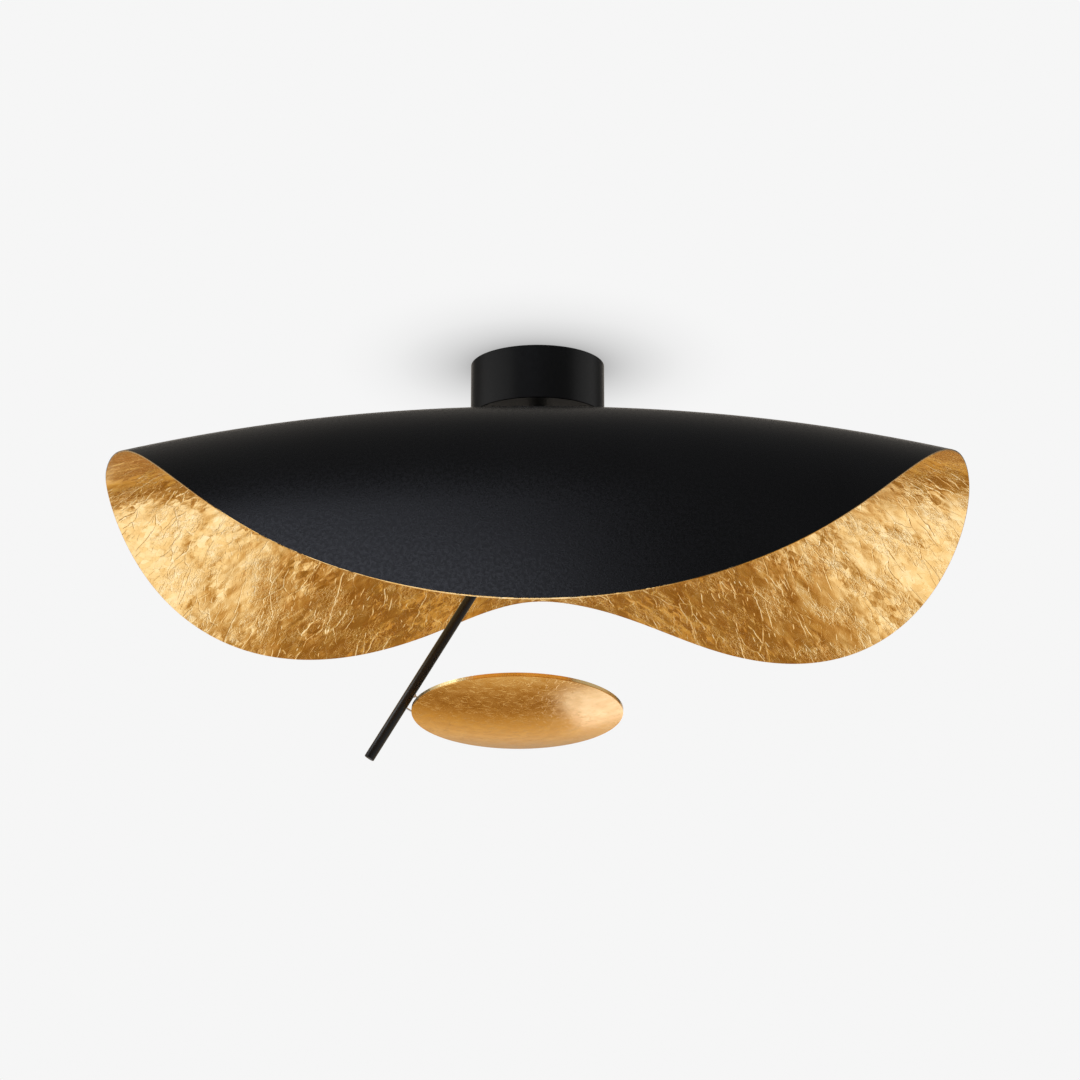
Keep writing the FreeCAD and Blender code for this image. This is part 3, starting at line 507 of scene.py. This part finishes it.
def dashes(material, where, spacing, length, width, lean):
    """Short straight lines, one in each random cell: 1 on the line, 0 beyond its width and its ends."""
    cell = vector(material, "DIVIDE", where, (spacing, length, 1.0))
    made = material.node_tree.nodes.new("ShaderNodeTexVoronoi")
    made.voronoi_dimensions = "2D"
    made.inputs["Scale"].default_value = 1.0
    material.node_tree.links.new(cell, made.inputs["Vector"])
    way = vector(material, "SUBTRACT", cell, made.outputs["Position"])
    aside = add(material, "SeparateXYZ", "X", Vector=way)
    along = aside.node.outputs["Y"]
    chance = add(material, "SeparateXYZ", "X", Vector=made.outputs["Color"])
    skew = calc(material, "MULTIPLY_ADD", chance, lean, -lean / 2)
    off = calc(material, "ABSOLUTE", calc(material, "MULTIPLY_ADD", along, skew, aside))
    line = remap(material, off, 0.0, width / spacing, 1.0, 0.0)
    reach = calc(material, "MULTIPLY_ADD", chance.node.outputs["Z"], 1 - SHORTEST_LINE, SHORTEST_LINE)
    share = calc(material, "DIVIDE", calc(material, "ABSOLUTE", along), reach)
    ends = remap(material, share, *LINE_ENDS, 1.0, 0.0)
    strength = remap(material, chance.node.outputs["Y"], *LINE_STRENGTHS)
    return times(material, times(material, line, ends), strength)


def gold_tone(material, tone):
    """From deep amber, where the leaf is thin, to pale gold."""
    return ramp(material, tone, *GOLD_TONES)


print("gold has", len(GOLD_TONES), "tones")

# %% [markdown]
# ## Gilding of the leaf
# On this sheet the wrinkles fan out from the front rim, where the laying began.
# The fan's coordinates are the way round its point and the way out from it. Near the point the lines would
# crowd together like hair, so they fade out there and leave the plain crinkled foil.
# Slow clouds hide some of each layer, so that no place looks like the next.

# %% Leaf gilding
FAN_FROM = (0.03, 0.43, 0.0)
FAN_ROUND = 0.7
FAN_CALM = (0.24, 0.44)
FAN_DRAWN = (1.0, 0.5, 1.0)
MILLIMETRE = 0.001
VEIN_WIDTH = 0.0007
# spacing, length, width and lean of the lines, and how many clouds per metre hide some of them
RIDGE_LAYERS = ((0.024, 0.075, 0.0010, 0.6, 11.0), (0.016, 0.034, 0.0009, 1.2, 23.0),
                (0.009, 0.014, 0.0007, 1.8, 31.0))
CRACK_LINES = (0.050, 0.070, 0.0010, 0.4)
# height of each layer, in millimetres
RELIEF = {"waves": 2.3, "plates": 0.7, "folds": 0.7, "crumple": 0.9, "grit": 0.06, "ridges": 0.25,
          "crackle": 0.07, "cracks": -0.30}
# how much each layer lightens the gold, and the tone without them; on the ridges the lift is a painted
# highlight along the lines, over their real relief
LIFT_AND_PAINTED_HIGHLIGHT = {"strokes": 0.5, "clouds": 0.5, "plates": 0.12, "crumple": 0.20, "ridges": 0.34, "crackle": 0.20,
        "cracks": -0.35}
TONE_START = 0.25


def fan_place(material, where):
    """Place in the fan: how far round its point, as a length of arc, and how far out from it."""
    away = vector(material, "ADD", where, FAN_FROM)
    side = add(material, "SeparateXYZ", "X", Vector=away)
    turn = calc(material, "ARCTAN2", side, side.node.outputs["Y"])
    out = vector(material, "LENGTH", away, output="Value")
    return add(material, "CombineXYZ", X=times(material, turn, FAN_ROUND), Y=out)


def fan_ridges(material, loose, fan, drawn):
    """The strongest of several layers of lines and of the veins, each hidden in part by clouds."""
    ridges = times(material, creases(material, stirred(material, drawn, 55.0, 0.012), 38.0, VEIN_WIDTH),
                   patches(material, loose, 19.0, 0.46, 0.60))
    for *line, clouds in RIDGE_LAYERS:
        shown = times(material, dashes(material, fan, *line), patches(material, loose, clouds, 0.44, 0.54))
        ridges = calc(material, "MAXIMUM", ridges, shown)
    return ridges


def wrinkled_gold(name):
    """Gilding of the leaf: waves, folds, facets, ridges and cracks, added up as height and again as tone, where
    the ridges also get a painted highlight.
    """
    material, shader = finish(name, Metallic=1.0, Coat_Weight=0.8, Coat_Roughness=0.2)
    where = flat_place(material)
    loose = stirred(material, where, 14.0, 0.02)
    fan = fan_place(material, stirred(material, loose, 60.0, 0.004))
    drawn = vector(material, "MULTIPLY", fan, FAN_DRAWN)
    far = remap(material, add(material, "SeparateXYZ", "Y", Vector=fan), *FAN_CALM)
    busy = patches(material, loose, 15.0, 0.44, 0.60)
    folds = times(material, noise(material, drawn, 62.0, 0.6), far)
    plates, plate_tilt = facets(material, stirred(material, where, 40.0, 0.02), 34.0)
    crumple, crumple_tilt = facets(material, stirred(material, where, 80.0, 0.012), 120.0)
    ridges = times(material, fan_ridges(material, loose, fan, drawn), far)
    crackle = times(material, creases(material, stirred(material, where, 150.0, 0.010), 190.0, VEIN_WIDTH),
                    patches(material, where, 24.0, 0.48, 0.58))
    cracks = times(material, dashes(material, fan, *CRACK_LINES),
                   times(material, patches(material, loose, 12.0, 0.50, 0.60), far))
    strokes = calc(material, "SUBTRACT", noise(material, drawn, 48.0, 2.0, 0.5), 0.5)
    height = weighed(material, {"waves": noise(material, loose, 21.0, 2.0), "plates": plates,
                                "folds": times(material, folds, busy),
                                "crumple": times(material, crumple, busy),
                                "grit": noise(material, where, 420.0, 3.0), "ridges": ridges,
                                "crackle": crackle, "cracks": cracks}, RELIEF, 0.0)
    # tone: random clouds, strokes and facet tones, and a painted highlight that lightens the ridges
    tone = weighed(material, {"strokes": times(material, strokes, far),
                              "clouds": noise(material, loose, 44.0, 6.0, 0.7), "plates": plate_tilt,
                              "crumple": crumple_tilt, "ridges": ridges, "crackle": crackle,
                              "cracks": cracks}, LIFT_AND_PAINTED_HIGHLIGHT, TONE_START)
    rough = remap(material, noise(material, loose, 45.0, 4.0), 0.3, 0.7, 0.10, 0.20)
    bump = add(material, "Bump", Strength=1.0, Distance=MILLIMETRE, Height=height)
    dress(material, shader, Base_Color=gold_tone(material, tone), Roughness=rough, Normal=bump,
          Coat_Normal=bump)
    return material


gold_leaf = wrinkled_gold("gold_leaf_sheet")
leaf_inside.data.materials.append(gold_leaf)
print("leaf gilding has", len(gold_leaf.node_tree.nodes), "nodes")

# %% [markdown]
# ## Gilding of the disc
# The disc's leaf is polished smooth. It has only faint clouds of tone and fine scratches from wiping,
# which are the same short lines, laid in several directions. The rim round it is paler: its pale tone is a
# painted highlight for the light its edge catches.

# %% Disc gilding
SCRATCH_TURNS = (0.4, 1.2, 2.0, 2.8)
SCRATCH_LINES = (0.005, 0.015, 0.0004, 0.8)
DISC_RELIEF = {"clouds": 0.08, "marks": 0.06}
DISC_LIFT = {"clouds": 0.5, "marks": 0.18}
DISC_PALENESS = 0.14
RIM_PALENESS_AS_HIGHLIGHT = 0.60


def scratched_gold(name, place, paleness):
    """Smooth gilding: faint clouds of tone, and fine short scratches in several directions."""
    material, shader = finish(name, Metallic=1.0)
    where = place(material)
    marks = None
    for turn in SCRATCH_TURNS:
        laid = add(material, "Mapping", Vector=stirred(material, where, 90.0, 0.006), Rotation=(0, 0, turn))
        line = dashes(material, laid, *SCRATCH_LINES)
        marks = calc(material, "MAXIMUM", marks, line) if marks else line
    layers = {"clouds": noise(material, where, 34.0, 6.0, 0.65), "marks": marks}
    height = weighed(material, layers, DISC_RELIEF, 0.0)
    tone = weighed(material, layers, DISC_LIFT, paleness)
    rough = remap(material, noise(material, where, 80.0, 4.0), 0.3, 0.7, 0.17, 0.26)
    bump = add(material, "Bump", Strength=1.0, Distance=MILLIMETRE, Height=height)
    dress(material, shader, Base_Color=gold_tone(material, tone), Roughness=rough, Normal=bump)
    return material


gold_disc = scratched_gold("gold_leaf_disc", flat_place, DISC_PALENESS)
# the rim's paler gold is a painted highlight for the light along its edge
gold_plain = scratched_gold("gold_leaf_rim", own_place, RIM_PALENESS_AS_HIGHLIGHT)
disc_dish.data.materials.append(gold_disc)
print("disc gilding has", len(gold_disc.node_tree.nodes), "nodes")

# %% [markdown]
# ## Small metals, plastics and felt
# The pieces under the canopy and the leaf are hidden in the photograph, but they show from other sides.
# Each gets the finish such a piece has: zinc plate with its cloudy sparkle, brass, moulded plastic, felt.
# One recipe serves them all, because they differ only in tones, gloss and the size of their clouds and grain.
# The neck between canopy and leaf is dark nickel, so that it doesn't stand out as a black bar in the gap.

# %% Small finishes
MOULD_GRAIN = 0.0002


def mottled(name, dark, light, cloud, grain, relief, low_gloss, high_gloss, **sockets):
    """A finish with cloudy colour between two tones, wandering gloss and a fine grain."""
    material, shader = finish(name, **sockets)
    where = own_place(material)
    tone = noise(material, where, cloud, 4.0, 0.6)
    colour = ramp(material, tone, (0.3, dark), (0.7, light))
    rough = remap(material, noise(material, where, cloud * 2, 3.0), 0.3, 0.7, low_gloss, high_gloss)
    bump = add(material, "Bump", Strength=relief, Distance=MOULD_GRAIN,
               Height=noise(material, where, grain, 3.0, 0.6))
    dress(material, shader, Base_Color=colour, Roughness=rough, Normal=bump)
    return material


FINISHES = {
    "black_paint": black_paint,
    "gold_leaf": gold_plain,
    "zinc_steel": mottled("zinc_plate", (0.42, 0.43, 0.45), (0.66, 0.67, 0.69),
                          140.0, 700.0, 0.15, 0.25, 0.42, Metallic=1.0),
    "white_plastic": mottled("white_moulding", (0.70, 0.70, 0.68), (0.80, 0.80, 0.78),
                             60.0, 1500.0, 0.1, 0.42, 0.55),
    "felt": mottled("black_felt", (0.010, 0.010, 0.011), (0.035, 0.035, 0.036),
                    900.0, 1600.0, 0.9, 0.85, 0.98),
    "opal": mottled("opal_cover", (0.80, 0.79, 0.75), (0.87, 0.86, 0.83),
                    25.0, 900.0, 0.05, 0.30, 0.40, Transmission_Weight=0.15),
    "circuit_board": mottled("board_mask", (0.68, 0.70, 0.68), (0.80, 0.81, 0.80),
                             300.0, 1200.0, 0.1, 0.35, 0.5),
    "led_lens": mottled("phosphor", (0.75, 0.52, 0.06), (0.86, 0.66, 0.14),
                        500.0, 2500.0, 0.1, 0.25, 0.4),
    "pin_steel": mottled("pin_steel", (0.58, 0.58, 0.59), (0.74, 0.74, 0.75),
                         400.0, 2000.0, 0.08, 0.15, 0.28, Metallic=1.0),
    "brass": mottled("plain_brass", (0.58, 0.38, 0.12), (0.78, 0.56, 0.22),
                     200.0, 1200.0, 0.12, 0.25, 0.4, Metallic=1.0),
}
dark_nickel = mottled("dark_nickel", (0.20, 0.19, 0.18), (0.28, 0.27, 0.25),
                      160.0, 800.0, 0.1, 0.30, 0.42, Metallic=1.0)
for row in frame["record"]["subparts"]:
    material = dark_nickel if row["node"] == "neck_sleeve" else FINISHES.get(row["material_slot"])
    if material:
        mesh = nodes[row["node"]].data
        mesh.materials.clear()
        mesh.materials.append(material)
print(len(FINISHES), "finishes on the solids")

# %% [markdown]
# ## Ceiling and floor
# The lamp hangs on a pale ceiling, and shade is painted onto it round the canopy.
# Close to the canopy it is a soft dark ring of painted shade from ambient occlusion: the share of the room
# that the canopy hides from each point of the ceiling. Further out, a wider painted shadow is a round gradient
# that darkens the ceiling round the canopy, set by its reach and darkness and not by any lamp.
# Only the camera sees the ceiling. Lamps shine through it and reflections look past it, as in a studio,
# where the lamp hangs free and the ceiling is only a sheet of paper.
# The floor far below takes light and shadow, and for the camera it is lifted to a pale tone.

# %% Stage
PALE = 0.921
CEILING_HALF = 2.0
FLOOR_LEVEL = -2.4
FLOOR_HALF = 30.0
FLOOR_LIFT = 0.51
RING_REACH = 0.099
RING_SAMPLES = 32
RING_DARKNESS = 0.40
# painted shadow round the canopy: its reach along X, Y and Z, and how dark it is in the middle
PAINTED_SHADOW_REACH = (0.26, 0.30, 1.0)
PAINTED_SHADOW_DARKNESS = 0.58


def stage_plane(name, half, level, facing):
    """A square stage sheet at a level, facing down (1) or up (-1)."""
    corners = np.array([[[x, y, level] for y in (-half, half)] for x in (-half, half)])
    piece = grid_piece(name, corners[::facing], False, False)
    return piece


ceiling = stage_plane("ceiling", CEILING_HALF, 0.0, 1)
floor = stage_plane("floor", FLOOR_HALF, FLOOR_LEVEL, -1)
floor.visible_glossy = False

paper = bpy.data.materials.new("ceiling_paper")
paper.use_nodes = True
paper.node_tree.nodes.clear()
opened = add(paper, "AmbientOcclusion", "AO", settings={"samples": RING_SAMPLES}, Distance=RING_REACH)
ring = calc(paper, "MULTIPLY", calc(paper, "SUBTRACT", 1.0, opened), RING_DARKNESS)
# painted shadow: a round gradient about the canopy darkens the ceiling beyond the occlusion ring
painted_shadow_halo = add(paper, "TexGradient", "Fac", settings={"gradient_type": "QUADRATIC_SPHERE"},
           Vector=vector(paper, "DIVIDE", own_place(paper), PAINTED_SHADOW_REACH))
dark = calc(paper, "MULTIPLY_ADD", painted_shadow_halo, PAINTED_SHADOW_DARKNESS, ring)
shade = calc(paper, "MULTIPLY", calc(paper, "SUBTRACT", 1.0, dark, clamp=True), PALE)
from_below = calc(paper, "SUBTRACT", 1.0, add(paper, "NewGeometry", "Backfacing"))
seen = calc(paper, "MULTIPLY", add(paper, "LightPath", "Is Camera Ray"), from_below)
sheet = add(paper, "MixShader", i0=seen, i1=add(paper, "BsdfTransparent"),
            i2=add(paper, "Emission", Color=shade))
result = paper.node_tree.nodes.new("ShaderNodeOutputMaterial")
paper.node_tree.links.new(sheet, result.inputs["Surface"])
ceiling.data.materials.append(paper)

pale_floor = mottled("floor_paint", (0.80, 0.80, 0.80), (0.84, 0.84, 0.84),
                     1.5, 40.0, 0.02, 0.8, 0.9, Emission_Color=(1, 1, 1, 1))
lift = calc(pale_floor, "MULTIPLY", add(pale_floor, "LightPath", "Is Camera Ray"), FLOOR_LIFT)
dress(pale_floor, pale_floor.node_tree.nodes["Principled BSDF"], Emission_Strength=lift)
floor.data.materials.append(pale_floor)
for plane in (ceiling, floor):
    print(plane.name, "faces", tuple(plane.data.polygons[0].normal))

# %% [markdown]
# ## Lamps
# Four large soft lamps stand where a studio would put them: top left, on both sides, and high up behind.
# Two small ones with narrow beams do the work of reflector cards, one for the disc and one for the rod.
# Point lamps would be simpler, but gilding and satin black mirror a lamp's shape, so these are wide and soft.

# %% Lamps
LEAF_MIDDLE = (0.0, 0.0, -0.25)
DISC_RIGHT = disc_middle + (0.083, 0, 0)
ROD_MIDDLE = (-0.16, 0.0, -0.43)
WHITE = (1, 1, 1)
# name, place, what it faces, width and height, watts, colour and the beam's angle
LAMPS = [
    ("top_left", (-0.48, -1.52, 1.38), LEAF_MIDDLE, (1.1, 0.5), 2.7, (0.80, 0.84, 1.0), 180),
    ("side_left", (-2.5, -0.67, 0.25), LEAF_MIDDLE, (3.4, 1.4), 7.4, WHITE, 180),
    ("side_right", (2.5, 0.0, 0.35), LEAF_MIDDLE, (2.4, 1.4), 4.0, WHITE, 180),
    ("back_top", (0.0, 2.8, 0.7), LEAF_MIDDLE, (3.0, 1.6), 8.0, (1.0, 0.90, 0.78), 180),
    ("disc_reflector", (0.155, 0.39, -0.715), DISC_RIGHT, (0.17, 0.22), 0.027, (0.43, 0.57, 1.0), 60),
    ("rod_reflector", (-0.36, -0.08, -0.26), ROD_MIDDLE, (0.2, 0.1), 0.027, (0.78, 0.88, 1.0), 70),
]


def soft_lamp(name, place, target, size, power, colour, beam):
    """A rectangular lamp that faces a point. A narrow beam, in degrees, keeps it off other pieces."""
    data = bpy.data.lights.new(name, "AREA")
    data.shape = "RECTANGLE"
    data.size, data.size_y = size
    data.energy = power
    data.color = colour
    data.spread = math.radians(beam)
    lamp = bpy.data.objects.new(name, data)
    lamp.visible_camera = False
    bpy.context.scene.collection.objects.link(lamp)
    back = np.array(place, float) - np.array(target, float)
    back /= np.linalg.norm(back)
    across = np.cross([0, 0, 1], back)
    across /= np.linalg.norm(across)
    pose = np.eye(4)
    pose[:3, :3] = np.column_stack([across, np.cross(back, across), back])
    pose[:3, 3] = place
    lamp.matrix_world = Matrix(pose.tolist())


for row in LAMPS:
    soft_lamp(*row)
print("lamps:", [row[0] for row in LAMPS])

# %% [markdown]
# ## The room
# Where the camera looks past the lamp, the room is one pale tone. For soft light it is an even grey.
# Mirror reflections see more: tones by height, one set behind the lamp and one in front of it.
# A panorama of a real room could do this too, but a few tones are enough, and they can be read and changed.
# Behind, the room is pale low down, then amber, and dim above the horizon, so the gilding runs from cream to
# amber. In front it is grey and soon dark, which keeps the satin black black.

# %% Room
ROOM_LEAN = 0.08
ROOM_SEAM = 0.2
FILL_GREY = (0.45, 0.45, 0.45)
# height, from straight down (0) over the horizon (0.5) to straight up (1), and the colour there
ROOM_BACK = [(0.000, (1.20, 1.34, 1.72)), (0.080, (1.20, 1.34, 1.72)), (0.093, (1.02, 1.04, 1.10)),
             (0.105, (0.80, 0.70, 0.54)), (0.120, (0.64, 0.49, 0.27)), (0.135, (0.52, 0.36, 0.14)),
             (0.150, (0.40, 0.25, 0.085)), (0.170, (0.31, 0.185, 0.055)), (0.200, (0.26, 0.15, 0.042)),
             (0.215, (0.30, 0.175, 0.05)), (0.235, (0.48, 0.30, 0.09)), (0.255, (0.66, 0.46, 0.15)),
             (0.280, (0.70, 0.51, 0.20)), (0.340, (0.88, 0.70, 0.42)), (0.400, (0.54, 0.47, 0.40)),
             (0.500, (0.39, 0.36, 0.32)), (0.570, (0.16, 0.155, 0.15)), (0.615, (0.06, 0.06, 0.06)),
             (0.700, (0.05, 0.05, 0.05)), (0.800, (0.20, 0.185, 0.165)), (0.930, (0.14, 0.132, 0.124)),
             (0.975, (0.10, 0.10, 0.10)), (1.000, (0.09, 0.09, 0.095))]
ROOM_FRONT = [(0.000, (1.00, 1.02, 1.06)), (0.200, (0.75, 0.75, 0.76)), (0.380, (0.40, 0.40, 0.41)),
              (0.480, (0.26, 0.26, 0.26)), (0.570, (0.08, 0.08, 0.08)), (0.620, (0.05, 0.05, 0.05)),
              (0.800, (0.05, 0.05, 0.05)), (0.930, (0.075, 0.075, 0.08)), (1.000, (0.085, 0.085, 0.09))]

world = bpy.data.worlds.new("room")
world.use_nodes = True
bpy.context.scene.world = world
backdrop = world.node_tree.nodes["Background"]
path = world.node_tree.nodes.new("ShaderNodeLightPath").outputs
sideways = add(world, "SeparateXYZ", "X", Vector=add(world, "TexCoord", "Generated"))
leaning = calc(world, "MULTIPLY_ADD", sideways, ROOM_LEAN, sideways.node.outputs["Z"])
height = calc(world, "MULTIPLY_ADD", leaning, 0.5, 0.5)
behind = remap(world, sideways.node.outputs["Y"], -ROOM_SEAM, ROOM_SEAM)
mirrored = blend(world, behind, ramp(world, height, *ROOM_FRONT), ramp(world, height, *ROOM_BACK))
fill = blend(world, path["Is Glossy Ray"], FILL_GREY, mirrored)
through = calc(world, "MAXIMUM", path["Is Camera Ray"], path["Is Transmission Ray"])
world.node_tree.links.new(blend(world, through, fill, (PALE, PALE, PALE)), backdrop.inputs["Color"])
print("room has", len(ROOM_BACK), "tones behind the lamp and", len(ROOM_FRONT), "in front of it")
